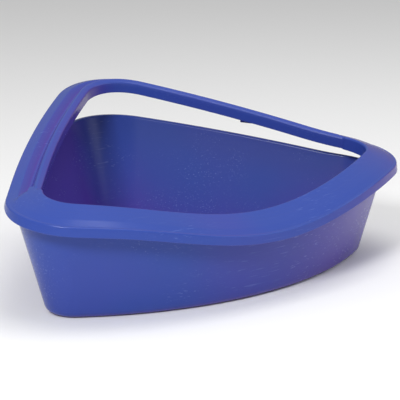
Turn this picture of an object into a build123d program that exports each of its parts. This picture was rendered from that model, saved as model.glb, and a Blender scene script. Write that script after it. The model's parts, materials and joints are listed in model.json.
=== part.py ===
from build123d import *
import os
from math import atan2, cos, degrees, hypot, pi, radians, sin, sqrt, tan

# Corner litter tray with an anti-scatter rim that clips over its lip, shown with the rim ajar.
# +X runs across the front, +Y to the back corner, +Z up; the tray stands on z = 0.

# ---------- driving sizes: millimetres and degrees ----------
corner_half_span = 266.0  # floor plan: middle plane to a sharp front corner
corner_reach = 261.5  # floor plan: line of the front corners to the sharp back corner
front_bow = 89.6  # how far the front edge bulges past that line
side_bow = 12.0  # how far each side edge bulges
front_corner_radius = 37.0
back_corner_radius = 55.0

wall_draft = 15.0  # the walls lean out by this angle
foot_radius = 12.0  # rounding between wall and floor, outside
tray_wall = 2.6
tray_floor = 3.0
lip_reach = 3.2  # bead along the tray's top edge, out from the wall
lip_thickness = 3.0

side_height = 120.7  # tray edge at the front corners
entry_dip = 26.9  # how far the edge drops at the middle of the front
entry_half_width = 243.6
back_slope = 11.9  # slope of the edge up to the back corner
slope_start = 44.7  # where the sloping edge would meet the level one
slope_blend = 40.0  # half length of the curve between them

# rim: reaches run out from the tray wall (negative: inwards), heights from the tray edge
rim_wall = 2.4
skirt_reach = 17.4  # outer face of the rim
skirt_height = -9.5  # its lower edge
side_shoulder_reach = 15.6
side_shoulder_height = -2.6
side_ridge_reach = 1.3
side_ridge_height = 4.6
side_valley_reach = -10.5
side_valley_height = 1.0
side_crest_reach = -17.8
side_crest_height = 15.6
side_brink_reach = -26.3  # where the crest turns down into the inner face
side_brink_height = 12.9
side_inner_reach = -26.8
front_shoulder_reach = 14.8
front_shoulder_height = 2.4
front_crest_reach = -27.2
front_crest_height = 16.8
front_inner_reach = -29.6
inner_height = -2.0  # lower edge of the inner face
leg_shares = [0.18, 0.5, 0.82]  # where the rounded section follows its straight legs

catch_thickness = 2.4
catch_gap = 3.3  # catch arm outwards of the tray lip
catch_barb = 1.9
catch_barb_gap = 0.6  # barb to the underside of the tray lip, when closed
catch_barb_height = 5.0
side_catch_width = 20.0
side_catch_drop = 18.5
side_catch_bearing = 45.2  # where round the plan it stands
front_catch_width = 12.0
front_catch_drop = 12.5

rim_ajar = 6.9  # how far the rim is tilted up from closed

sections_per_arc = [12, 10, 12, 6]  # rim sections along the front, corner, side and back arcs
dip_points = 25  # points along the dipping front edge

draft = tan(radians(wall_draft))
rise = tan(radians(back_slope))
lip_gap_outside = lip_reach + catch_gap


# ---------- plan: three outward arcs and three rounded corners ----------
def bowed_arc(start, end, bow):
    """Centre and radius of the arc from start to end that bulges right of travel by bow."""
    span_x, span_y = end[0] - start[0], end[1] - start[1]
    chord = hypot(span_x, span_y)
    radius = (chord**2 / 4 + bow**2) / (2 * bow)
    inwards = radius - bow
    centre = (
        (start[0] + end[0]) / 2 - span_y / chord * inwards,
        (start[1] + end[1]) / 2 + span_x / chord * inwards,
    )
    return centre, radius


def corner_centre(first, second, radius, near):
    """Centre of a rounding that touches two arcs from inside, the one nearer to a point."""
    (ax, ay), ra = first[0], first[1] - radius
    (bx, by), rb = second[0], second[1] - radius
    gap = hypot(bx - ax, by - ay)
    along = (ra**2 - rb**2 + gap**2) / (2 * gap)
    across = sqrt(ra**2 - along**2)
    ux, uy = (bx - ax) / gap, (by - ay) / gap
    found = [
        (ax + along * ux - side * across * uy, ay + along * uy + side * across * ux)
        for side in (1, -1)
    ]
    return min(found, key=lambda p: hypot(p[0] - near[0], p[1] - near[1]))


def bearing(centre, point):
    return degrees(atan2(point[1] - centre[1], point[0] - centre[0]))


left_corner = (-corner_half_span, 0.0)
right_corner = (corner_half_span, 0.0)
back_corner = (0.0, corner_reach)
front_arc = bowed_arc(left_corner, right_corner, front_bow)
side_arc = bowed_arc(right_corner, back_corner, side_bow)
mirrored_side_arc = ((-side_arc[0][0], side_arc[0][1]), side_arc[1])
front_rounding = corner_centre(front_arc, side_arc, front_corner_radius, right_corner)
back_rounding = corner_centre(side_arc, mirrored_side_arc, back_corner_radius, back_corner)
front_end = bearing(front_arc[0], front_rounding)
side_start = bearing(side_arc[0], front_rounding)
side_end = bearing(side_arc[0], back_rounding)

# right half of the outline from the front round to the back corner: centre, radius, bearings
HALF = [
    (front_arc[0], front_arc[1], -90.0, front_end),
    (front_rounding, front_corner_radius, front_end, side_start),
    (side_arc[0], side_arc[1], side_start, side_end),
    (back_rounding, back_corner_radius, side_end, 90.0),
]


def outline(offset, z):
    """Closed outline at one height, moved out by an offset."""
    right = [Edge.make_circle(r + offset, Plane((c[0], c[1], z)), a, b) for c, r, a, b in HALF]
    left = [edge.mirror(Plane.YZ) for edge in right]
    return Wire(right + left)


# ---------- height of the tray edge over the plan ----------
def edge_height(x, y):
    if y < 0:
        share = min(abs(x) / entry_half_width, 1.0)
        return side_height - entry_dip * cos(pi * share / 2) ** 2
    past = y - slope_start
    if past <= -slope_blend:
        return side_height
    if past >= slope_blend:
        return side_height + rise * past
    return side_height + rise * (past + slope_blend) ** 2 / (4 * slope_blend)


def edge_point(arc, angle, offset, lift=0.0):
    """A point beside the tray's top edge: offset out from the wall, lift above the edge."""
    (cx, cy), radius = arc
    way_x, way_y = cos(radians(angle)), sin(radians(angle))
    lean = 0.0
    for _ in range(8):
        lean = draft * edge_height(cx + (radius + lean) * way_x, cy + (radius + lean) * way_y)
    x, y = cx + (radius + lean + offset) * way_x, cy + (radius + lean + offset) * way_y
    return Vector(0.0 if abs(x) < 1e-9 else x, y, edge_height(x, y) + lift)


def below_edge(lift):
    """Everything under the tray's edge surface, moved up by lift."""
    far = 2 * (corner_half_span + corner_reach)
    low = -far / 2
    step = 2 * entry_half_width / (dip_points - 1)
    dip = [-entry_half_width + step * i for i in range(dip_points)]
    curve = Spline(
        *[Vector(x, 0, edge_height(x, -1) + lift) for x in dip],
        tangents=[(1, 0, 0), (1, 0, 0)],
    )
    level = side_height + lift
    half = entry_half_width
    front_side = Wire([
        Edge.make_line((-far, 0, level), (-half, 0, level)),
        curve,
        Edge.make_line((half, 0, level), (far, 0, level)),
        Edge.make_line((far, 0, level), (far, 0, low)),
        Edge.make_line((far, 0, low), (-far, 0, low)),
        Edge.make_line((-far, 0, low), (-far, 0, level)),
    ])
    front = extrude(Face(front_side), far, dir=(0, -1, 0))
    first, last = slope_start - slope_blend, slope_start + slope_blend
    back_side = Wire([
        Edge.make_line((-far, 0, level), (-far, first, level)),
        Edge.make_bezier(
            (-far, first, level),
            (-far, slope_start, level),
            (-far, last, level + rise * slope_blend),
        ),
        Edge.make_line((-far, last, level + rise * slope_blend),
                       (-far, far, level + rise * (far - slope_start))),
        Edge.make_line((-far, far, level + rise * (far - slope_start)), (-far, far, low)),
        Edge.make_line((-far, far, low), (-far, 0, low)),
        Edge.make_line((-far, 0, low), (-far, 0, level)),
    ])
    back = extrude(Face(back_side), 2 * far, dir=(1, 0, 0))
    return front + back


# ---------- tray ----------
def leaning_block(offset, bottom, top, rounding):
    """Solid with the tray's outline and draft between two heights, its bottom edge rounded."""
    lower = outline(offset + draft * bottom, bottom)
    upper = outline(offset + draft * top, top)
    block = Solid.make_loft([lower, upper], ruled=True)
    if rounding:
        foot = block.faces().sort_by(Axis.Z)[0]
        block = block.fillet(rounding, foot.edges())
    return block


def litter_tray():
    tallest = side_height + rise * (corner_reach + draft * side_height + slope_blend)
    level_wall = tray_wall / cos(radians(wall_draft))
    shell = leaning_block(0, 0, tallest, foot_radius)
    bead = leaning_block(lip_reach, side_height / 4, tallest, 0)
    inside = leaning_block(-level_wall, tray_floor, tallest, foot_radius - tray_wall)
    under_edge = below_edge(0)
    under_lip = below_edge(-lip_thickness)
    tray = (shell & under_edge) + ((bead & under_edge) - under_lip) - inside
    return tray.solid()


# ---------- rim ----------
def between(first, last, share):
    """The point a share of the way from first to last."""
    return tuple((1 - share) * f + share * t for f, t in zip(first, last))


def side_corners():
    """Outer face of the rim's side rails: (out from the tray wall, above the tray edge)."""
    return [
        (skirt_reach, skirt_height),
        (side_shoulder_reach, side_shoulder_height),
        (side_ridge_reach, side_ridge_height),
        (side_valley_reach, side_valley_height),
        (side_crest_reach, side_crest_height),
        (side_brink_reach, side_brink_height),
        (side_inner_reach, inner_height),
    ]


def front_corners():
    """Outer face of the rim's broad front band, corner for corner like the rails'."""
    shoulder = (front_shoulder_reach, front_shoulder_height)
    crest = (front_crest_reach, front_crest_height)
    across = front_shoulder_reach - front_crest_reach
    slope = [
        between(shoulder, crest, (front_shoulder_reach - reach) / across)
        for reach in (side_ridge_reach, side_valley_reach, side_crest_reach)
    ]
    return [
        (skirt_reach, skirt_height), shoulder, *slope, crest, (front_inner_reach, inner_height)
    ]


def inset(corners, depth):
    """The same corners behind a wall of that thickness, square to the legs beside each."""
    ways = []
    for first, last in zip(corners, corners[1:]):
        size = hypot(last[0] - first[0], last[1] - first[1])
        ways.append(((first[1] - last[1]) / size, (last[0] - first[0]) / size))
    moved = []
    for place, (reach, height) in enumerate(corners):
        before, after = ways[max(place - 1, 0)], ways[min(place, len(ways) - 1)]
        step = depth / (1 + before[0] * after[0] + before[1] * after[1])
        moved.append((reach + step * (before[0] + after[0]),
                      height + step * (before[1] + after[1])))
    return moved


def softened(corners):
    """Points for a smooth curve along the legs, which rounds the corners between them."""
    points = [corners[0]]
    for first, last in zip(corners, corners[1:]):
        points += [between(first, last, share) for share in leg_shares]
    return points + [corners[-1]]


def rim_section(arc, angle, share):
    """Wall section of the rim at one place; share runs from front band 0 to side rail 1."""
    corners = [between(f, s, share) for f, s in zip(front_corners(), side_corners())]
    outer = softened(corners)
    inner = softened(inset(corners, rim_wall))
    top = Spline(*[edge_point(arc, angle, o, h) for o, h in outer])
    under = Spline(*[edge_point(arc, angle, o, h) for o, h in reversed(inner)])
    return Face(Wire([
        top,
        Edge.make_line(top @ 1, under @ 0),
        under,
        Edge.make_line(under @ 1, top @ 0),
    ]))


def rail_share(along):
    """How far the section has turned from front band into side rail, over the front corner."""
    turned = min(max((along - 0.2) / 0.6, 0.0), 1.0)
    return turned**2 * (3 - 2 * turned)


def rim_frame():
    """The closed rim: skins lofted arc by arc over one half, mirrored and sewn up."""
    skins = []
    for place, (centre, radius, start, end) in enumerate(HALF):
        count = sections_per_arc[place]
        wires = []
        for i in range(count + 1):
            share = rail_share(i / count) if place == 1 else float(place > 1)
            angle = start + (end - start) * i / count
            wires.append(rim_section((centre, radius), angle, share).outer_wire())
        stretch = Solid.make_loft(wires)
        skins += [face for face in stretch.faces() if face.geom_type != GeomType.PLANE]
    skins += [face.mirror(Plane.YZ) for face in skins]
    return Solid(Shell(skins))


# ---------- catches ----------
def catch_block(arc, angle, width, drop):
    """Arm that hangs under the rim beside the tray lip, with a barb below the lip."""
    foot = edge_point(arc, angle, 0)
    out = Vector(cos(radians(angle)), sin(radians(angle)), 0)
    along = Vector(-out.Y, out.X, 0)
    top = side_ridge_height
    arm = lip_gap_outside
    barb_top = -lip_thickness - catch_barb_gap
    barb_bottom = barb_top - catch_barb_height
    profile = [
        (arm, top),
        (arm + catch_thickness, top),
        (arm + catch_thickness, -drop),
        (arm + catch_thickness / 2, -drop),
        (arm, barb_bottom),
        (arm - catch_barb, barb_bottom + catch_barb_height / 2),
        (arm - catch_barb, barb_top),
        (arm, barb_top),
    ]
    corners = [foot + out * reach + Vector(0, 0, lift) - along * (width / 2)
               for reach, lift in profile]
    return extrude(Face(Wire.make_polygon(corners)), width, dir=along)


def catch(frame, arc, angle, width, drop):
    """A catch cut to seat against the rim's underside."""
    pieces = (catch_block(arc, angle, width, drop) - frame).solids()
    return pieces.sort_by(Axis.Z)[0]


# ---------- assembly: rim tilted ajar about its front edge ----------
front_edge = edge_point(front_arc, -90.0, skirt_reach, skirt_height)
hinge = Axis((0, front_edge.Y, front_edge.Z), (1, 0, 0))
back_arc = (back_rounding, back_corner_radius)
tray_back = edge_point(back_arc, 90.0, lip_reach)
skirt_arm = edge_point(back_arc, 90.0, skirt_reach, skirt_height) - front_edge
tilt = radians(rim_ajar)
skirt_back_y = front_edge.Y + skirt_arm.Y * cos(tilt) - skirt_arm.Z * sin(tilt)
middle = (front_edge.Y + max(tray_back.Y, skirt_back_y)) / 2

closed_frame = rim_frame()
front_catch = catch(closed_frame, front_arc, -90.0, front_catch_width, front_catch_drop)
right_catch = catch(closed_frame, side_arc, side_catch_bearing, side_catch_width, side_catch_drop)

rim_parts = {
    "rim_frame": closed_frame,
    "front_catch": front_catch,
    "side_catch_right": right_catch,
    "side_catch_left": right_catch.mirror(Plane.YZ),
}
parts = {"litter_tray": litter_tray()}
for name, solid in rim_parts.items():
    parts[name] = solid.rotate(hinge, rim_ajar)

to_centre = Location((0, -middle, 0))
os.makedirs("parts", exist_ok=True)
for name, solid in parts.items():
    export_step(solid.moved(to_centre), os.path.join("parts", name + ".step"))

print("hinge at y %.3f z %.3f" % (front_edge.Y - middle, front_edge.Z))
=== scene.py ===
import json
from collections import namedtuple
from math import atan2, cos, pi, radians, sin, sqrt, tan

import bmesh
import bpy
from bpy.props import FloatProperty, FloatVectorProperty, IntProperty, PointerProperty
from mathutils import Matrix, Vector


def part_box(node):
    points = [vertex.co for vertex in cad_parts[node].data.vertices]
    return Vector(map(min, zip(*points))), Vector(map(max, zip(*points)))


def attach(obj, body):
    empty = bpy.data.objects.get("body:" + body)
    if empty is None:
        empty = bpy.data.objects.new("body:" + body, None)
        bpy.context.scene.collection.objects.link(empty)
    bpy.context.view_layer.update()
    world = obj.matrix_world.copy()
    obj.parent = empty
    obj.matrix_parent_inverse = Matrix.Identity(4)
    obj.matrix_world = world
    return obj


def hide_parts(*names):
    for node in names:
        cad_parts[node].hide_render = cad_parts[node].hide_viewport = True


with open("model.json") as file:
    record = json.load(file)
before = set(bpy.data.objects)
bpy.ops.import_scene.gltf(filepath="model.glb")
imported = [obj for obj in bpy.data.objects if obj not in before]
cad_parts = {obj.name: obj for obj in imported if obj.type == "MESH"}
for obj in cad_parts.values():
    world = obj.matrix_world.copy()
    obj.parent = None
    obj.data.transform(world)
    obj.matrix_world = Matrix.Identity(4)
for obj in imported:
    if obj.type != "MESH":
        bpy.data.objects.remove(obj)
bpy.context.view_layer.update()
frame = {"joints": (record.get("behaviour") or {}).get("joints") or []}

bl_info = {
    "name": "Corner litter tray",
    "version": (1, 0, 0),
    "blender": (4, 5, 0),
    "location": "View3D > Sidebar > Litter tray",
    "description": "Builds a corner litter tray with its tilting anti-scatter rim",
    "category": "Object",
}

RIM_TILT = frame["joints"][0]
QUARTER_TURN = pi / 2


# ---------- settings ----------
def length(name, default, description):
    """A length setting, in metres."""
    return FloatProperty(name=name, description=description, default=default, unit="LENGTH",
                         precision=4)


def angle(name, default, description):
    """An angle setting whose default is given in degrees."""
    return FloatProperty(name=name, description=description, default=radians(default),
                         unit="ROTATION")


def share(name, default, description):
    """A setting between nothing and all."""
    return FloatProperty(name=name, description=description, default=default, min=0.0, max=1.0,
                         subtype="FACTOR")


def number(name, default, description):
    """A setting without a unit."""
    return FloatProperty(name=name, description=description, default=default, min=0.0)


def count(name, default, description):
    """A whole number, such as of faces."""
    return IntProperty(name=name, description=description, default=default, min=2)


def colour(name, default, description):
    """A colour setting, in linear light."""
    return FloatVectorProperty(name=name, description=description, default=default, size=3,
                               subtype="COLOR", min=0.0, max=1.0)


class PlanSettings(bpy.types.PropertyGroup):
    """The tray seen from above: a bowed front, two bowed sides and three rounded corners."""

    corner_half_span: length("Corner half span", 0.266, "Middle plane to a sharp front corner")
    corner_reach: length("Corner reach", 0.2615, "Line of the front corners to the back corner")
    front_bow: length("Front bow", 0.0896, "How far the front edge bulges")
    side_bow: length("Side bow", 0.012, "How far each side edge bulges")
    front_corner_radius: length("Front corner radius", 0.037, "Rounding of the front corners")
    back_corner_radius: length("Back corner radius", 0.055, "Rounding of the back corner")
    front_stations: count("Front stations", 60, "Sections along half of the front")
    corner_stations: count("Corner stations", 84, "Sections round a front corner")
    side_stations: count("Side stations", 150, "Sections along a side")
    back_stations: count("Back stations", 30, "Sections round half of the back corner")


class TraySettings(bpy.types.PropertyGroup):
    """Walls, lip and edge of the tray."""

    wall_draft: angle("Wall draft", 15.0, "How far the walls lean out")
    foot_radius: length("Foot radius", 0.012, "Rounding between wall and floor, outside")
    wall: length("Wall", 0.0026, "Thickness of the walls")
    floor: length("Floor", 0.003, "Thickness of the floor")
    lip_reach: length("Lip reach", 0.0032, "How far the bead stands out from the wall")
    lip_thickness: length("Lip thickness", 0.003, "Height of the bead")
    lip_rounding: length("Lip rounding", 0.0011, "Rounding of the bead's outer edge")
    inner_rounding: length("Inner rounding", 0.0022, "Rounding of the tray's inner edge")
    side_height: length("Side height", 0.1207, "Tray edge at the front corners")
    entry_dip: length("Entry dip", 0.0269, "How far the edge drops at the middle of the front")
    entry_half_width: length("Entry half width", 0.2436, "Half the width of that dip")
    back_slope: angle("Back slope", 11.9, "Slope of the edge up to the back corner")
    slope_start: length("Slope start", 0.0447, "Where the slope would meet the level edge")
    slope_blend: length("Slope blend", 0.040, "Half length of the curve between them")
    wall_rings: count("Wall rings", 10, "Rows of faces up a wall")
    foot_rings: count("Foot rings", 8, "Rows of faces round the foot")


class RimSettings(bpy.types.PropertyGroup):
    """Section of the rim; reaches start at the tray wall, heights at the tray edge."""

    wall: length("Wall", 0.0024, "Thickness of the rim")
    skirt_reach: length("Skirt reach", 0.0174, "Lower edge of the skirt")
    skirt_height: length("Skirt height", -0.0095, "Its height")
    edge_radius: length("Edge radius", 0.0009, "Rounding of the free edges")
    shoulder_reach: length("Shoulder reach", 0.0156, "Rails: top of the skirt")
    shoulder_height: length("Shoulder height", -0.0026, "Its height")
    shoulder_radius: length("Shoulder radius", 0.0040, "Its rounding")
    ridge_reach: length("Ridge reach", 0.0013, "Rails: ridge over the tray lip")
    ridge_height: length("Ridge height", 0.0046, "Its height")
    ridge_radius: length("Ridge radius", 0.0020, "Its rounding")
    valley_reach: length("Valley reach", -0.0105, "Rails: valley inside the ridge")
    valley_height: length("Valley height", 0.0010, "Its height")
    valley_radius: length("Valley radius", 0.0030, "Its rounding")
    crest_reach: length("Crest reach", -0.0178, "Rails: crest")
    crest_height: length("Crest height", 0.0156, "Its height, before the rounding")
    crest_radius: length("Crest radius", 0.0040, "Its rounding")
    brink_reach: length("Brink reach", -0.0263, "Rails: where the crest meets the inner face")
    brink_height: length("Brink height", 0.0129, "Its height")
    brink_radius: length("Brink radius", 0.0022, "Its rounding")
    inner_reach: length("Inner reach", -0.0268, "Rails: lower edge of the inner face")
    inner_height: length("Inner height", -0.002, "Height of the inner face's lower edge")
    face_bend_reach: length("Face bend", -0.02655, "Rails: a place on the inner face")
    face_bend_height: length("Face bend height", 0.009, "Its height")
    front_shoulder_reach: length("Front shoulder reach", 0.0148, "Front band: top of the lip")
    front_shoulder_height: length("Front shoulder height", 0.0024, "Its height")
    front_shoulder_radius: length("Front shoulder radius", 0.0030, "Its rounding")
    groove_reach: length("Groove reach", 0.0113, "Shallow groove inside the front lip")
    groove_depth: length("Groove depth", 0.0010, "Its depth")
    groove_radius: length("Groove radius", 0.0020, "Its rounding")
    slope_radius: length("Slope radius", 0.0080, "Roundness of the band's slope")
    front_crest_reach: length("Front crest reach", -0.0272, "Front band: crest")
    front_crest_height: length("Front crest height", 0.0168, "Its height")
    front_crest_radius: length("Front crest radius", 0.0024, "Its rounding")
    front_brink_reach: length("Front brink reach", -0.0292, "Front band: top of the face")
    front_brink_height: length("Front brink height", 0.0148, "Its height")
    front_brink_radius: length("Front brink radius", 0.0016, "Its rounding")
    front_inner_reach: length("Front inner reach", -0.0296, "Front band: inner face")
    arc_steps: count("Arc steps", 5, "Faces round each rounding of the section")


class CatchSettings(bpy.types.PropertyGroup):
    """Catches that hang under the rim and hook below the tray's lip."""

    thickness: length("Thickness", 0.0024, "Thickness of an arm")
    gap: length("Gap", 0.0033, "Arm outwards of the tray lip")
    side_root: length("Side root", 0.0005, "Height where a side arm runs into the rim")
    front_root: length("Front root", 0.0035, "Height where the front arm runs into the rim")
    barb: length("Barb", 0.0019, "How far the barb stands in")
    barb_height: length("Barb height", 0.005, "Height of the barb")
    barb_gap: length("Barb gap", 0.0006, "Barb to the lip's underside, when closed")
    side_width: length("Side width", 0.020, "Width of a side catch")
    side_drop: length("Side drop", 0.0185, "Side catch below the tray edge")
    side_bearing: angle("Side bearing", 45.2, "Where round the side's arc it stands")
    front_width: length("Front width", 0.012, "Width of the front catch")
    front_drop: length("Front drop", 0.0125, "Front catch below the tray edge")
    bevel: length("Bevel", 0.0004, "Softened edges")


class PlasticSettings(bpy.types.PropertyGroup):
    """Colour and finish of the moulded plastic."""

    # blue is the plastic where it is painted as lit; violet is the painted shade colour, and shade
    # reach sets how far its painted occlusion looks
    blue: colour("Blue", (0.029, 0.062, 0.315), "Plastic in open light")
    violet: colour("Violet", (0.11, 0.025, 0.30), "Plastic that is enclosed or faces away")
    bright: colour("Worn", (0.16, 0.23, 0.56), "Plastic that wear has made paler")
    roughness: share("Roughness", 0.24, "Roughness of the clean surface")
    shade_reach: length("Shade reach", 0.16, "How far the violet shade looks for other walls")
    tray_scuffs: share("Tray scuffs", 0.6, "How much the tray is scratched")
    rim_scuffs: share("Rim scuffs", 0.35, "How much the rim is scratched")


class StudioSettings(bpy.types.PropertyGroup):
    """Camera, light and floor."""

    aim: FloatVectorProperty(name="Aim", description="The point that the camera looks at",
                             default=(0.1398, 0.1387, 0.040), size=3, subtype="XYZ",
                             unit="LENGTH")
    azimuth: angle("Azimuth", -36.65, "Where the camera stands, from straight in front")
    elevation: angle("Elevation", 14.884, "How far the camera looks down")
    distance: length("Distance", 2.2094, "Camera to aim")
    focal_length: number("Focal length", 133.2, "Lens in millimetres, on a 36 mm sensor")
    floor_size: length("Floor size", 12.0, "Width of the floor")
    floor_colour: colour("Floor colour", (0.86, 0.86, 0.86), "Pale floor")
    sky: colour("Sky", (1.0, 1.0, 1.0), "Light from all round")
    sky_strength: number("Sky strength", 0.55, "Strength of the light from above")
    horizon_strength: number("Horizon strength", 0.30, "Strength of the light from the side")


# ---------- the plan and the tray's edge ----------
Station = namedtuple("Station", "centre radius bearing past lean")


def bowed_arc(start, end, bow):
    """Centre and radius of the arc from start to end that bulges right of travel by bow."""
    span = end - start
    radius = (span.length ** 2 / 4 + bow ** 2) / (2 * bow)
    inwards = Vector((-span.y, span.x)).normalized() * (radius - bow)
    return (start + end) / 2 + inwards, radius


def rounding_centre(first, second, radius, near):
    """Centre of a rounding that touches two arcs from inside, the one nearer to a point."""
    reach, other_reach = first[1] - radius, second[1] - radius
    line = second[0] - first[0]
    along = (reach ** 2 - other_reach ** 2 + line.length_squared) / (2 * line.length)
    if reach ** 2 < along ** 2:
        raise RuntimeError("a corner's radius is too large for the plan")
    across = sqrt(reach ** 2 - along ** 2)
    unit = line.normalized()
    side = Vector((-unit.y, unit.x)) * across
    found = [first[0] + unit * along + side, first[0] + unit * along - side]
    return min(found, key=lambda point: (point - near).length)


def bearing(centre, point):
    """Direction from a centre to a point, seen from above."""
    return atan2(point.y - centre.y, point.x - centre.x)


class Plan:
    """The tray's outline and edge, worked out once from the settings."""

    def __init__(self, scene):
        self.sizes = scene.litter_plan
        self.tray = scene.litter_tray
        self.draft = tan(self.tray.wall_draft)
        self.rise = tan(self.tray.back_slope)
        plan = self.sizes
        right = Vector((plan.corner_half_span, 0.0))
        back = Vector((0.0, plan.corner_reach))
        front_arc = bowed_arc(-right, right, plan.front_bow)
        side_arc = bowed_arc(right, back, plan.side_bow)
        other_side = (Vector((-side_arc[0].x, side_arc[0].y)), side_arc[1])
        corner = rounding_centre(front_arc, side_arc, plan.front_corner_radius, right)
        back_corner = rounding_centre(side_arc, other_side, plan.back_corner_radius, back)
        turns = [-QUARTER_TURN, bearing(front_arc[0], corner), bearing(side_arc[0], corner),
                 bearing(side_arc[0], back_corner), QUARTER_TURN]
        self.arcs = [
            (front_arc[0], front_arc[1], turns[0], turns[1], plan.front_stations),
            (corner, plan.front_corner_radius, turns[1], turns[2], plan.corner_stations),
            (side_arc[0], side_arc[1], turns[2], turns[3], plan.side_stations),
            (back_corner, plan.back_corner_radius, turns[3], turns[4], plan.back_stations),
        ]
        lip_back = self.edge_point(self.station(3, QUARTER_TURN), self.tray.lip_reach, 0.0)
        self.shift = Vector((0.0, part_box("litter_tray")[1].y - lip_back.y, 0.0))

    def edge_height(self, x, y):
        tray = self.tray
        if y < 0:
            out = min(abs(x) / tray.entry_half_width, 1.0)
            return tray.side_height - tray.entry_dip * cos(QUARTER_TURN * out) ** 2
        past = y - tray.slope_start
        if past <= -tray.slope_blend:
            return tray.side_height
        if past >= tray.slope_blend:
            return tray.side_height + self.rise * past
        return tray.side_height + self.rise * (past + tray.slope_blend) ** 2 / (
            4 * tray.slope_blend)

    def station(self, place, turn):
        """A section's place: its arc, bearing, lean and distance past the corner's end."""
        centre, radius = self.arcs[place][:2]
        lean = 0.0
        for _ in range(8):
            wall = centre + (radius + lean) * Vector((cos(turn), sin(turn)))
            lean = self.draft * self.edge_height(wall.x, wall.y)
        corner_end = self.arcs[1][3]
        past = (turn - corner_end) * (radius + lean)
        if place == 0:
            corner_start = self.arcs[1][2]
            past = (turn - corner_start) * (radius + lean) - (
                (corner_end - corner_start) * (self.arcs[1][1] + lean))
        return Station(centre, radius, turn, past, lean)

    def half(self):
        """Stations from the middle of the front to the back corner."""
        found = []
        for place, (_, _, start, end, steps) in enumerate(self.arcs):
            found += [self.station(place, start + (end - start) * i / steps)
                      for i in range(steps + (place == 3))]
        return found

    def point(self, station, offset, height):
        """A point at a height, moved out from the outline at the floor by an offset."""
        way = Vector((cos(station.bearing), sin(station.bearing)))
        flat = station.centre + (station.radius + offset) * way
        return Vector((flat.x, flat.y, height))

    def edge_point(self, station, reach, lift):
        """A point beside the tray's top edge."""
        found = self.point(station, station.lean + reach, 0.0)
        found.z = self.edge_height(found.x, found.y) + lift
        return found


# ---------- sections ----------
def unit_left(way):
    return Vector((-way.y, way.x))


def rounded_path(corners, steps, closed):
    """Points along (x, y, radius) corners: an arc at each, straight runs with edge loops."""
    arcs = []
    last = len(corners) - 1
    for i, (x, y, radius) in enumerate(corners):
        here = Vector((x, y))
        if not closed and i in (0, last):
            arcs.append([here])
            continue
        before = here - Vector(corners[i - 1][:2])
        after = Vector(corners[(i + 1) % (last + 1)][:2]) - here
        into, onward = before.normalized(), after.normalized()
        turn = atan2(into.cross(onward), into.dot(onward))
        half = max(tan(abs(turn) / 2), 1e-6)
        setback = min(radius * half, 0.45 * before.length, 0.45 * after.length)
        side = unit_left(into) * (1 if turn > 0 else -1)
        start = here - into * setback
        centre = start + side * (setback / half)
        arcs.append([centre + Matrix.Rotation(turn * k / steps, 2) @ (start - centre)
                     for k in range(steps + 1)])
    points = []
    loops = (0.05, 0.35, 0.65, 0.95)
    for i, arc in enumerate(arcs):
        points += arc
        if closed or i < last:
            following = arcs[(i + 1) % len(arcs)][0]
            points += [arc[-1].lerp(following, part) for part in loops]
    return points


def thickened(corners, wall, edge_radius):
    """Closed corners of a skin: the given outer face, and an inner face a wall behind it."""
    spots = [Vector(corner[:2]) for corner in corners]
    ways = [(b - a).normalized() for a, b in zip(spots, spots[1:])]
    inner = []
    for i, spot in enumerate(spots):
        before = unit_left(ways[max(i - 1, 0)])
        after = unit_left(ways[min(i, len(ways) - 1)])
        moved = spot + (before + after) * (wall / (1 + before.dot(after)))
        hollow = before.cross(after) < 0
        radius = corners[i][2] + wall if hollow else corners[i][2] - wall
        inner.append((moved.x, moved.y, max(radius, edge_radius / 3)))
    ends = {0, len(corners) - 1}
    outer = [(x, y, edge_radius if i in ends else r) for i, (x, y, r) in enumerate(corners)]
    inner = [(x, y, edge_radius if i in ends else r) for i, (x, y, r) in enumerate(inner)]
    return outer + inner[::-1]


def rail_corners(rim):
    """Outer face of the side rails: (out from the tray wall, above the tray edge, radius)."""
    shoulder = Vector((rim.shoulder_reach, rim.shoulder_height))
    ridge = Vector((rim.ridge_reach, rim.ridge_height))
    beside_groove = shoulder.lerp(
        ridge, (shoulder.x - rim.groove_reach) / (shoulder.x - ridge.x))
    return [
        (rim.skirt_reach, rim.skirt_height, 0.0),
        (*shoulder, rim.shoulder_radius),
        (*beside_groove, rim.groove_radius),
        (*ridge, rim.ridge_radius),
        (rim.valley_reach, rim.valley_height, rim.valley_radius),
        (rim.crest_reach, rim.crest_height, rim.crest_radius),
        (rim.brink_reach, rim.brink_height, rim.brink_radius),
        (rim.face_bend_reach, rim.face_bend_height, rim.slope_radius),
        (rim.inner_reach, rim.inner_height, 0.0),
    ]


def band_corners(rim):
    """Outer face of the broad front band, corner for corner like the rails'."""
    shoulder = Vector((rim.front_shoulder_reach, rim.front_shoulder_height))
    crest = Vector((rim.front_crest_reach, rim.front_crest_height))
    slope = [
        shoulder.lerp(crest, (shoulder.x - reach) / (shoulder.x - crest.x))
        for reach in (rim.groove_reach, rim.ridge_reach, rim.valley_reach, rim.crest_reach)
    ]
    slope[0].y -= rim.groove_depth
    radii = (rim.groove_radius, rim.slope_radius, rim.slope_radius, rim.slope_radius)
    return [
        (rim.skirt_reach, rim.skirt_height, 0.0),
        (*shoulder, rim.front_shoulder_radius),
        *[(*spot, radius) for spot, radius in zip(slope, radii)],
        (*crest, rim.front_crest_radius),
        (rim.front_brink_reach, rim.front_brink_height, rim.front_brink_radius),
        (rim.front_inner_reach, rim.inner_height, 0.0),
    ]


# where the front band turns into the side rail: reach, place past the corner, softness
CREASE = [
    (0.0113, -0.020, 0.060),
    (0.0030, -0.018, 0.010),
    (-0.0130, 0.013, 0.008),
    (-0.0250, -0.005, 0.008),
]


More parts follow.
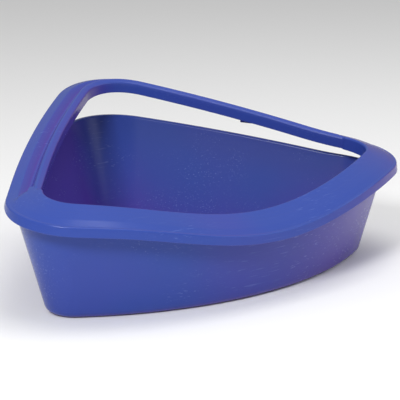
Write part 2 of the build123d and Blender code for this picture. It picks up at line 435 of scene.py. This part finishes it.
def rail_share(reach, past):
    """0 on the front band and 1 on the side rail, with a slanting crease between them."""
    reach = min(max(reach, CREASE[-1][0]), CREASE[0][0])
    for (outer, *from_place), (inner, *to_place) in zip(CREASE, CREASE[1:]):
        if reach >= inner:
            break
    along = (outer - reach) / (outer - inner)
    place, softness = (a + (b - a) * along for a, b in zip(from_place, to_place))
    turned = min(max((past - place) / softness + 0.5, 0.0), 1.0)
    return turned ** 2 * (3 - 2 * turned)


# ---------- meshes ----------
def full_loop(half):
    """Sections of the right half, followed by their mirror images back to the front."""
    mirror = [[Vector((-p.x, p.y, p.z)) for p in section] for section in half[-2:0:-1]]
    return half + mirror


def loop_mesh(name, sections, closed, hubs=()):
    """A mesh through sections round the plan. An open one is closed by a fan to each hub."""
    size = len(sections[0])
    vertices = [point for section in sections for point in section] + list(hubs)
    faces = []
    for i in range(len(sections)):
        here, following = i * size, (i + 1) % len(sections) * size
        for k in range(size if closed else size - 1):
            after = (k + 1) % size
            faces.append((here + k, following + k, following + after, here + after))
        if hubs:
            first_hub = len(sections) * size
            faces.append((here, first_hub, following))
            faces.append((here + size - 1, following + size - 1, first_hub + 1))
    return solid_mesh(name, vertices, faces)


def solid_mesh(name, vertices, faces):
    """A smooth-shaded mesh whose faces all look outwards."""
    mesh = bpy.data.meshes.new(name)
    mesh.from_pydata([tuple(v) for v in vertices], [], faces)
    shape = bmesh.new()
    shape.from_mesh(mesh)
    bmesh.ops.recalc_face_normals(shape, faces=shape.faces)
    shape.to_mesh(mesh)
    shape.free()
    mesh.shade_smooth()
    if not mesh.polygons or mesh.validate():
        raise RuntimeError(f"{name} didn't come out as a clean mesh")
    return mesh


def add_piece(name, mesh, material, body, node):
    """Puts a mesh in the scene as a piece that stands for a CAD node and rides its body."""
    piece = bpy.data.objects.new(name, mesh)
    bpy.context.scene.collection.objects.link(piece)
    mesh.materials.append(material)
    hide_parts(node)
    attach(piece, body)
    return piece


def tilted_open():
    """The turn about the rim's hinge from closed to how the rim stands."""
    pivot = Matrix.Translation(Vector(RIM_TILT["pos_m"]))
    turn = Matrix.Rotation(-radians(RIM_TILT["range_deg"][0]), 4, Vector(RIM_TILT["axis"]))
    return pivot @ turn @ pivot.inverted()


# ---------- node groups ----------
GROUP_INPUT, GROUP_OUTPUT = "NodeGroupInput", "NodeGroupOutput"
EVEN = (1, 1, 1)  # noise that isn't drawn out
PAINTED_LIGHT_SIDE = (-0.82, -0.42, 0.38)  # painted light: surfaces that face this way stay blue, those facing away are painted violet shade
SHADE_TURN = (-0.15, 0.62)  # how squarely they face it: share of painted violet shade at its most, and none
# share of blue left where a surface faces away from the painted light
BLUE_WHEN_TURNED_AWAY = 0.45
ENCLOSED, OPEN = 0.30, 0.90  # occlusion where the plastic is painted all violet shade, and where all blue
SCRATCH_RUNS = ((0.2, (1, 30, 46)), (1.3, (1.4, 40, 34)), (2.2, (1, 44, 26)))  # turn, stretch


def add_node(tree, kind, values=(), **options):
    """A node with its options set, and its inputs set by name or number."""
    node = tree.nodes.new(kind)
    for key, value in options.items():
        setattr(node, key, value)
    for key, value in dict(values).items():
        node.inputs[key].default_value = value
    return node


def new_group(name, inputs, outputs):
    """A shader group with named sockets: inputs are (name, kind, default), outputs (name, kind)."""
    tree = bpy.data.node_groups.new(name, "ShaderNodeTree")
    for label, kind, default in inputs:
        socket = tree.interface.new_socket(label, in_out="INPUT", socket_type=kind)
        socket.default_value = default
    for label, kind in outputs:
        tree.interface.new_socket(label, in_out="OUTPUT", socket_type=kind)
    return tree, tree.nodes.new(GROUP_INPUT).outputs, tree.nodes.new(GROUP_OUTPUT).inputs


def math(tree, operation, first, second=None, clamp=False):
    """A Math node; each term is a number or an output socket."""
    node = add_node(tree, "ShaderNodeMath", operation=operation, use_clamp=clamp)
    for place, term in enumerate((first, second)):
        if isinstance(term, bpy.types.NodeSocket):
            tree.links.new(term, node.inputs[place])
        elif term is not None:
            node.inputs[place].default_value = term
    return node.outputs[0]


def remap(tree, value, low, high, to_low=0.0, to_high=1.0):
    """A smooth Map Range from low..high to to_low..to_high."""
    node = add_node(tree, "ShaderNodeMapRange", {"From Min": low, "From Max": high,
                    "To Min": to_low, "To Max": to_high}, interpolation_type="SMOOTHSTEP")
    tree.links.new(value, node.inputs["Value"])
    return node.outputs["Result"]


def blend(tree, share, first, second):
    """A colour between two; each is an output socket or a colour."""
    node = add_node(tree, "ShaderNodeMix", data_type="RGBA")
    tree.links.new(share, node.inputs["Factor"])
    sockets = {socket.identifier: socket for socket in node.inputs}
    for name, colour in (("A_Color", first), ("B_Color", second)):
        if isinstance(colour, bpy.types.NodeSocket):
            tree.links.new(colour, sockets[name])
        else:
            sockets[name].default_value = colour
    return next(output for output in node.outputs if output.identifier == "Result_Color")


def stretched_noise(tree, coordinates, scale, turn, stretch, noise_scale, detail=3.0):
    """Noise drawn out into streaks along one direction."""
    mapping = add_node(tree, "ShaderNodeMapping", {"Rotation": (0.3 * turn, 0.2 * turn, turn),
                       "Scale": stretch})
    tree.links.new(coordinates, mapping.inputs["Vector"])
    noise = add_node(tree, "ShaderNodeTexNoise", {"Scale": noise_scale, "Detail": detail})
    tree.links.new(mapping.outputs[0], noise.inputs["Vector"])
    if scale is not None:
        tree.links.new(scale, noise.inputs["Scale"])
    return noise.outputs["Fac"]


def painted_shade_group():
    """Painted shade: blue plastic painted violet where it is enclosed or faces away from the side
    the painted light comes from.
    """
    tree, given, result = new_group(
        "Painted violet shade",
        [("Blue", "NodeSocketColor", (0.05, 0.09, 0.4, 1)),
         ("Violet", "NodeSocketColor", (0.06, 0.03, 0.2, 1)),
         ("Reach", "NodeSocketFloat", 0.1)],
        [("Color", "NodeSocketColor")])
    # painted shade in enclosed places, from occlusion
    occlusion = add_node(tree, "ShaderNodeAmbientOcclusion", samples=8, only_local=True)
    tree.links.new(given["Reach"], occlusion.inputs["Distance"])
    open_share = remap(tree, occlusion.outputs["AO"], ENCLOSED, OPEN)
    # painted shade on surfaces that face away from the painted light
    facing = add_node(tree, "ShaderNodeVectorMath", {1: PAINTED_LIGHT_SIDE}, operation="DOT_PRODUCT")
    coordinates = tree.nodes.new("ShaderNodeTexCoord").outputs
    tree.links.new(coordinates["Normal"], facing.inputs[0])
    lit = remap(tree, facing.outputs["Value"], *SHADE_TURN, BLUE_WHEN_TURNED_AWAY, 1.0)
    amount = math(tree, "MULTIPLY", open_share, lit)
    drift = stretched_noise(tree, coordinates["Object"], None, 0.0, EVEN, 6.0, 1.0)
    varied = math(tree, "ADD", amount, remap(tree, drift, 0.3, 0.7, -0.06, 0.06), clamp=True)
    tree.links.new(blend(tree, varied, given["Violet"], given["Blue"]), result["Color"])
    return tree


def grain_group():
    """The faint orange peel and mould polish marks of a glossy moulding."""
    tree, given, result = new_group(
        "Moulded grain",
        [("Peel Scale", "NodeSocketFloat", 260.0), ("Polish Scale", "NodeSocketFloat", 40.0)],
        [("Height", "NodeSocketFloat")])
    place = tree.nodes.new("ShaderNodeTexCoord").outputs["Object"]
    peel = stretched_noise(tree, place, given["Peel Scale"], 0.0, EVEN, 260.0, 2.0)
    polish = stretched_noise(tree, place, given["Polish Scale"], 0.4, (1, 1, 9), 40.0)
    waves = stretched_noise(tree, place, None, 0.0, EVEN, 9.0, 1.0)
    fine = math(tree, "ADD", math(tree, "MULTIPLY", peel, 0.35),
                math(tree, "MULTIPLY", polish, 0.25))
    tree.links.new(math(tree, "ADD", fine, waves), result["Height"])
    return tree


def scuff_group():
    """Hairline scratches in three directions and small nicks."""
    tree, given, result = new_group(
        "Scuffs", [("Scale", "NodeSocketFloat", 30.0), ("Amount", "NodeSocketFloat", 0.5)],
        [("Mask", "NodeSocketFloat")])
    place = tree.nodes.new("ShaderNodeTexCoord").outputs["Object"]
    marks = 0.0
    for turn, stretch in SCRATCH_RUNS:
        streak = stretched_noise(tree, place, given["Scale"], turn, stretch, 30.0, 2.0)
        marks = math(tree, "MAXIMUM", marks, remap(tree, streak, 0.63, 0.76))
    nicks = add_node(tree, "ShaderNodeTexVoronoi", {"Scale": 190.0})
    tree.links.new(place, nicks.inputs["Vector"])
    patches = stretched_noise(tree, place, None, 0.0, EVEN, 14.0)
    dots = math(tree, "MULTIPLY", remap(tree, nicks.outputs["Distance"], 0.16, 0.10),
                remap(tree, patches, 0.60, 0.74, 0.0, 0.3))
    worn = remap(tree, stretched_noise(tree, place, None, 0.6, (1, 1, 2), 8.0), 0.42, 0.62)
    both = math(tree, "MAXIMUM", math(tree, "MULTIPLY", marks, worn), dots)
    tree.links.new(math(tree, "MULTIPLY", both, given["Amount"], clamp=True), result["Mask"])
    return tree


def edge_group():
    """Where a convex edge is rubbed paler."""
    tree, given, result = new_group(
        "Edge wear", [("Radius", "NodeSocketFloat", 0.002), ("Amount", "NodeSocketFloat", 0.5)],
        [("Mask", "NodeSocketFloat")])
    bevel = add_node(tree, "ShaderNodeBevel", samples=6)
    tree.links.new(given["Radius"], bevel.inputs["Radius"])
    turn = add_node(tree, "ShaderNodeVectorMath", operation="DOT_PRODUCT")
    normal = tree.nodes.new("ShaderNodeNewGeometry").outputs["Normal"]
    tree.links.new(bevel.outputs[0], turn.inputs[0])
    tree.links.new(normal, turn.inputs[1])
    place = tree.nodes.new("ShaderNodeTexCoord").outputs["Object"]
    broken = remap(tree, stretched_noise(tree, place, None, 0.0, EVEN, 45.0), 0.4, 0.65)
    edges = math(tree, "MULTIPLY", remap(tree, turn.outputs["Value"], 0.985, 0.90), broken)
    tree.links.new(math(tree, "MULTIPLY", edges, given["Amount"], clamp=True), result["Mask"])
    return tree


SHARED_GROUPS = {"Painted violet shade": painted_shade_group, "Moulded grain": grain_group,
                 "Scuffs": scuff_group, "Edge wear": edge_group}


def place_group(tree, label, values=()):
    """An instance of a shared group, which is built the first time that it is asked for."""
    group = bpy.data.node_groups.get(label) or SHARED_GROUPS[label]()
    return add_node(tree, "ShaderNodeGroup", values, node_tree=group)


# ---------- materials ----------
PLASTIC_IOR = 1.49
PLASTIC_GLOSS = 0.30
TRAY_SCUFF_SCALE, RIM_SCUFF_SCALE = 13.0, 16.0


def moulded_plastic(name, plastic, scuffs, scuff_scale):
    """Glossy blue plastic with painted violet shade, grain, scuffs and rubbed edges."""
    material = bpy.data.materials.get(name)
    if material:
        return material
    material = bpy.data.materials.new(name)
    material.use_nodes = True
    tree = material.node_tree
    shader = tree.nodes["Principled BSDF"]
    shader.inputs["IOR"].default_value = PLASTIC_IOR
    shader.inputs["Specular IOR Level"].default_value = PLASTIC_GLOSS
    # painted shade: the blue is painted violet where enclosed or turned away from the light
    shade = place_group(tree, "Painted violet shade", {"Blue": (*plastic.blue, 1),
                        "Violet": (*plastic.violet, 1), "Reach": plastic.shade_reach})
    marks = place_group(tree, "Scuffs", {"Scale": scuff_scale, "Amount": scuffs})
    edges = place_group(tree, "Edge wear", {"Radius": 0.0016, "Amount": 0.35})
    grain = place_group(tree, "Moulded grain")
    worn = math(tree, "MAXIMUM", math(tree, "MULTIPLY", marks.outputs["Mask"], 0.45),
                edges.outputs["Mask"])
    tree.links.new(blend(tree, worn, shade.outputs["Color"], (*plastic.bright, 1)),
                   shader.inputs["Base Color"])
    rough = math(tree, "MULTIPLY_ADD", worn, 0.25)
    rough.node.inputs[2].default_value = plastic.roughness
    tree.links.new(rough, shader.inputs["Roughness"])
    height = math(tree, "SUBTRACT", grain.outputs["Height"],
                  math(tree, "MULTIPLY", marks.outputs["Mask"], 0.4))
    bump = add_node(tree, "ShaderNodeBump", {"Strength": 0.10, "Distance": 0.0008})
    tree.links.new(height, bump.inputs["Height"])
    tree.links.new(bump.outputs["Normal"], shader.inputs["Normal"])
    return material


def tray_plastic(scene):
    """The tray's plastic, scratched by litter and claws."""
    plastic = scene.litter_plastic
    return moulded_plastic("glossy_tray_plastic", plastic, plastic.tray_scuffs, TRAY_SCUFF_SCALE)


def rim_plastic(scene):
    """The rim's plastic, with fewer and finer scratches."""
    plastic = scene.litter_plastic
    return moulded_plastic("glossy_rim_plastic", plastic, plastic.rim_scuffs, RIM_SCUFF_SCALE)


# ---------- tray ----------
LIP_STEPS = 5  # faces round each rounding of the lip
FLOOR_RINGS = (0.35, 0.7, 0.9)  # rows of points on the floor, from its middle to the foot


def foot_arc(plan, offset, bottom, radius, rings):
    """Rounding from the floor up to where it meets the leaning wall, as (offset, height)."""
    draft = plan.tray.wall_draft
    middle = offset + plan.draft * (bottom + radius) - radius / cos(draft)
    turns = [-QUARTER_TURN + (QUARTER_TURN - draft) * i / rings for i in range(rings + 1)]
    return [(middle + radius * cos(t), bottom + radius * (1 + sin(t))) for t in turns]


def lip_path(plan):
    """The bead and the tray's rounded inner edge, beside the top edge: (reach, lift)."""
    tray, draft = plan.tray, plan.draft
    under = -tray.lip_thickness
    level_wall = tray.wall / cos(tray.wall_draft)
    below = 3 * tray.lip_thickness
    corners = [
        (-draft * 2 * tray.lip_thickness, -2 * tray.lip_thickness, 0.0),
        (draft * under, under, tray.lip_rounding / 2),
        (tray.lip_reach + draft * under, under, tray.lip_rounding / 2),
        (tray.lip_reach, 0.0, tray.lip_rounding),
        (-level_wall, 0.0, tray.inner_rounding),
        (-level_wall - draft * below, -below, 0.0),
    ]
    return rounded_path(corners, LIP_STEPS, False)


def between(first, last, rings):
    """Points strictly between two points."""
    return [first.lerp(last, i / rings) for i in range(1, rings)]


def tray_section(plan, station, lip):
    """Points of one section, from the underside over the lip to the inner floor."""
    tray = plan.tray
    level_wall = tray.wall / cos(tray.wall_draft)
    inner_radius = tray.foot_radius - tray.wall
    outside = [plan.point(station, *p)
               for p in foot_arc(plan, 0.0, 0.0, tray.foot_radius, tray.foot_rings)]
    inside = [plan.point(station, *p)
              for p in foot_arc(plan, -level_wall, tray.floor, inner_radius, tray.foot_rings)]
    top = [plan.edge_point(station, reach, lift) for reach, lift in lip]
    return (outside + between(outside[-1], top[0], tray.wall_rings) + top
            + between(top[-1], inside[-1], tray.wall_rings) + inside[::-1])


def litter_tray_mesh(scene):
    """The tray: sections round the plan, with the floor closed above and below."""
    plan = Plan(scene)
    tray = plan.tray
    lip = lip_path(plan)
    half = [tray_section(plan, station, lip) for station in plan.half()]
    middle = Vector((0.0, plan.sizes.corner_reach / 4, 0.0))
    sections = []
    for section in half:
        under = [middle.lerp(section[0], part) for part in FLOOR_RINGS]
        centre = middle + Vector((0.0, 0.0, tray.floor))
        over = [centre.lerp(section[-1], part) for part in reversed(FLOOR_RINGS)]
        sections.append([p + plan.shift for p in under + section + over])
    hubs = [middle + plan.shift, middle + plan.shift + Vector((0.0, 0.0, tray.floor))]
    return loop_mesh("litter_tray_body", full_loop(sections), False, hubs)


class LITTER_OT_add_tray(bpy.types.Operator):
    """Adds the open tray with its bead and rounded foot"""

    bl_idname = "litter.add_tray"
    bl_label = "Add tray"
    bl_options = {"UNDO"}

    def execute(self, context):
        mesh = litter_tray_mesh(context.scene)
        add_piece("litter_tray_body", mesh, tray_plastic(context.scene), "tray",
                  "litter_tray")
        return {"FINISHED"}


# ---------- rim ----------
def rim_mesh(scene):
    """The rim: the band's section at the front turns into the rails' section behind."""
    plan, rim = Plan(scene), scene.litter_rim
    rail, band = [
        rounded_path(thickened(corners, rim.wall, rim.edge_radius), rim.arc_steps, True)
        for corners in (rail_corners(rim), band_corners(rim))
    ]
    opened = tilted_open() @ Matrix.Translation(plan.shift)
    half = []
    for station in plan.half():
        section = []
        for on_rail, on_band in zip(rail, band):
            part = rail_share(on_rail.x, station.past)
            spot = on_band.lerp(on_rail, part)
            section.append(opened @ plan.edge_point(station, spot.x, spot.y))
        half.append(section)
    return loop_mesh("rim_body", full_loop(half), True)


class LITTER_OT_add_rim(bpy.types.Operator):
    """Adds the anti-scatter rim, tilted ajar about its hinge"""

    bl_idname = "litter.add_rim"
    bl_label = "Add rim"
    bl_options = {"UNDO"}

    def execute(self, context):
        add_piece("rim_body", rim_mesh(context.scene), rim_plastic(context.scene), "rim",
                  "rim_frame")
        return {"FINISHED"}


# ---------- catches ----------
def catch_mesh(scene, name, place, turn, width, root, drop, side):
    """An arm with a barb, square to the edge at one bearing; side -1 mirrors it."""
    plan, sizes = Plan(scene), scene.litter_catches
    station = plan.station(place, turn)
    foot = plan.edge_point(station, 0.0, 0.0)
    out = Vector((cos(turn), sin(turn), 0.0))
    along = Vector((-out.y, out.x, 0.0))
    arm = plan.tray.lip_reach + sizes.gap
    barb_top = -plan.tray.lip_thickness - sizes.barb_gap
    barb_bottom = barb_top - sizes.barb_height
    profile = [
        (arm, root),
        (arm + sizes.thickness, root),
        (arm + sizes.thickness, -drop),
        (arm + sizes.thickness / 2, -drop),
        (arm, barb_bottom),
        (arm - sizes.barb, barb_bottom + sizes.barb_height / 2),
        (arm - sizes.barb, barb_top),
        (arm, barb_top),
    ]
    corners = len(profile)
    opened = tilted_open() @ Matrix.Translation(plan.shift)
    spots = []
    for across in (-width / 2, width / 2):
        for reach, lift in profile:
            spot = opened @ (foot + out * reach + along * across + Vector((0, 0, lift)))
            spots.append(Vector((side * spot.x, spot.y, spot.z)))
    faces = [tuple(range(corners)), tuple(range(corners, 2 * corners))]
    faces += [(i, (i + 1) % corners, corners + (i + 1) % corners, corners + i)
              for i in range(corners)]
    mesh = solid_mesh(name, spots, faces)
    shape = bmesh.new()
    shape.from_mesh(mesh)
    bmesh.ops.bevel(shape, geom=list(shape.edges), offset=sizes.bevel, segments=3,
                    affect="EDGES", clamp_overlap=True)
    shape.to_mesh(mesh)
    shape.free()
    mesh.shade_smooth()
    return mesh


class LITTER_OT_add_catches(bpy.types.Operator):
    """Adds the front catch and the two side catches under the rim"""

    bl_idname = "litter.add_catches"
    bl_label = "Add catches"
    bl_options = {"UNDO"}

    def execute(self, context):
        scene = context.scene
        sizes = scene.litter_catches
        side_sizes = (sizes.side_width, sizes.side_root, sizes.side_drop)
        front_sizes = (sizes.front_width, sizes.front_root, sizes.front_drop)
        rows = [
            ("front_catch", 0, -QUARTER_TURN, front_sizes, 1),
            ("side_catch_right", 2, sizes.side_bearing, side_sizes, 1),
            ("side_catch_left", 2, sizes.side_bearing, side_sizes, -1),
        ]
        for node, place, turn, own_sizes, side in rows:
            mesh = catch_mesh(scene, node + "_body", place, turn, *own_sizes, side)
            add_piece(node + "_body", mesh, rim_plastic(scene), "rim", node)
        return {"FINISHED"}


# ---------- studio ----------
FLOOR_LEVEL = -0.0002  # just under the tray, so that the two don't share a plane
LIGHTS_AIM = (0.0, 0.0, 0.1)
SOFTBOXES = {  # place, width, height, power in watts
    "key_softbox": ((-2.2, -1.4, 2.0), 0.65, 0.65, 62.0),
    "top_softbox": ((0.1, -0.4, 2.6), 1.6, 1.2, 22.0),
    "fill_softbox": ((1.9, -1.5, 1.3), 1.8, 1.2, 14.0),
}


def studio_floor(scene):
    """A pale, matt floor."""
    studio = scene.litter_studio
    half = studio.floor_size / 2
    corners = [(x, y, FLOOR_LEVEL)
               for x, y in ((-half, -half), (half, -half), (half, half), (-half, half))]
    mesh = bpy.data.meshes.new("studio_floor")
    mesh.from_pydata(corners, [], [(0, 1, 2, 3)])
    floor = bpy.data.objects.new("studio_floor", mesh)
    scene.collection.objects.link(floor)
    material = bpy.data.materials.new("studio_floor")
    material.use_nodes = True
    shader = material.node_tree.nodes["Principled BSDF"]
    shader.inputs["Base Color"].default_value = (*studio.floor_colour, 1)
    shader.inputs["Roughness"].default_value = 0.8
    shader.inputs["Specular IOR Level"].default_value = 0.1
    mesh.materials.append(material)


def softbox(scene, name, place, width, height, power):
    """A rectangular area light that looks at LIGHTS_AIM."""
    light = bpy.data.lights.new(name, "AREA")
    light.shape = "RECTANGLE"
    light.size, light.size_y = width, height
    light.energy = power
    lamp = bpy.data.objects.new(name, light)
    scene.collection.objects.link(lamp)
    lamp.location = place
    lamp.rotation_euler = (Vector(LIGHTS_AIM) - Vector(place)).to_track_quat("-Z", "Y").to_euler()


def studio_camera(scene):
    """A camera that looks at the aim from its azimuth, elevation and distance."""
    studio = scene.litter_studio
    camera = bpy.data.cameras.new("camera")
    camera.lens = studio.focal_length
    camera.sensor_width = 36.0
    eye = bpy.data.objects.new("camera", camera)
    scene.collection.objects.link(eye)
    flat = cos(studio.elevation)
    back = Vector((sin(studio.azimuth) * flat, -cos(studio.azimuth) * flat,
                   sin(studio.elevation)))
    eye.location = Vector(studio.aim) + back * studio.distance
    eye.rotation_euler = (-back).to_track_quat("-Z", "Y").to_euler()
    scene.camera = eye


def soft_sky(studio):
    """Even light from above that fades towards the horizon."""
    world = bpy.data.worlds.new("soft_sky")
    world.use_nodes = True
    tree = world.node_tree
    height = tree.nodes.new("ShaderNodeSeparateXYZ")
    tree.links.new(tree.nodes.new("ShaderNodeTexCoord").outputs["Generated"], height.inputs[0])
    strength = remap(tree, height.outputs["Z"], 0.0, 0.8, studio.horizon_strength,
                     studio.sky_strength)
    sky = tree.nodes["Background"]
    sky.inputs["Color"].default_value = (*studio.sky, 1)
    tree.links.new(strength, sky.inputs["Strength"])
    return world


class LITTER_OT_add_studio(bpy.types.Operator):
    """Adds the camera, the soft lights and the pale floor"""

    bl_idname = "litter.add_studio"
    bl_label = "Add studio"
    bl_options = {"UNDO"}

    def execute(self, context):
        scene = context.scene
        studio = scene.litter_studio
        studio_camera(scene)
        studio_floor(scene)
        scene.world = soft_sky(studio)
        scene.view_settings.view_transform = "Standard"
        for name, sizes in SOFTBOXES.items():
            softbox(scene, name, *sizes)
        return {"FINISHED"}


class LITTER_PT_panel(bpy.types.Panel):
    """Lists the steps and the settings"""

    bl_idname = "LITTER_PT_panel"
    bl_label = "Litter tray"
    bl_space_type = "VIEW_3D"
    bl_region_type = "UI"
    bl_category = "Litter tray"

    def draw(self, context):
        for step in STEPS:
            self.layout.operator(step.bl_idname)
        for title, name in SETTINGS.items():
            box = self.layout.box()
            box.label(text=title)
            group = getattr(context.scene, name)
            for prop in group.bl_rna.properties:
                if prop.identifier not in ("name", "rna_type"):
                    box.prop(group, prop.identifier)


STEPS = (LITTER_OT_add_tray, LITTER_OT_add_rim, LITTER_OT_add_catches, LITTER_OT_add_studio)
SETTINGS = {"Plan": "litter_plan", "Tray": "litter_tray", "Rim": "litter_rim",
            "Catches": "litter_catches", "Plastic": "litter_plastic", "Studio": "litter_studio"}
GROUPS = (PlanSettings, TraySettings, RimSettings, CatchSettings, PlasticSettings,
          StudioSettings)


def register():
    for cls in (*GROUPS, *STEPS, LITTER_PT_panel):
        bpy.utils.register_class(cls)
    for name, group in zip(SETTINGS.values(), GROUPS):
        setattr(bpy.types.Scene, name, PointerProperty(type=group))


def unregister():
    for name in SETTINGS.values():
        delattr(bpy.types.Scene, name)
    for cls in reversed((*GROUPS, *STEPS, LITTER_PT_panel)):
        bpy.utils.unregister_class(cls)


def main():
    register()
    bpy.ops.litter.add_tray()
    bpy.ops.litter.add_rim()
    bpy.ops.litter.add_catches()
    bpy.ops.litter.add_studio()


if __name__ == "__main__":
    main()
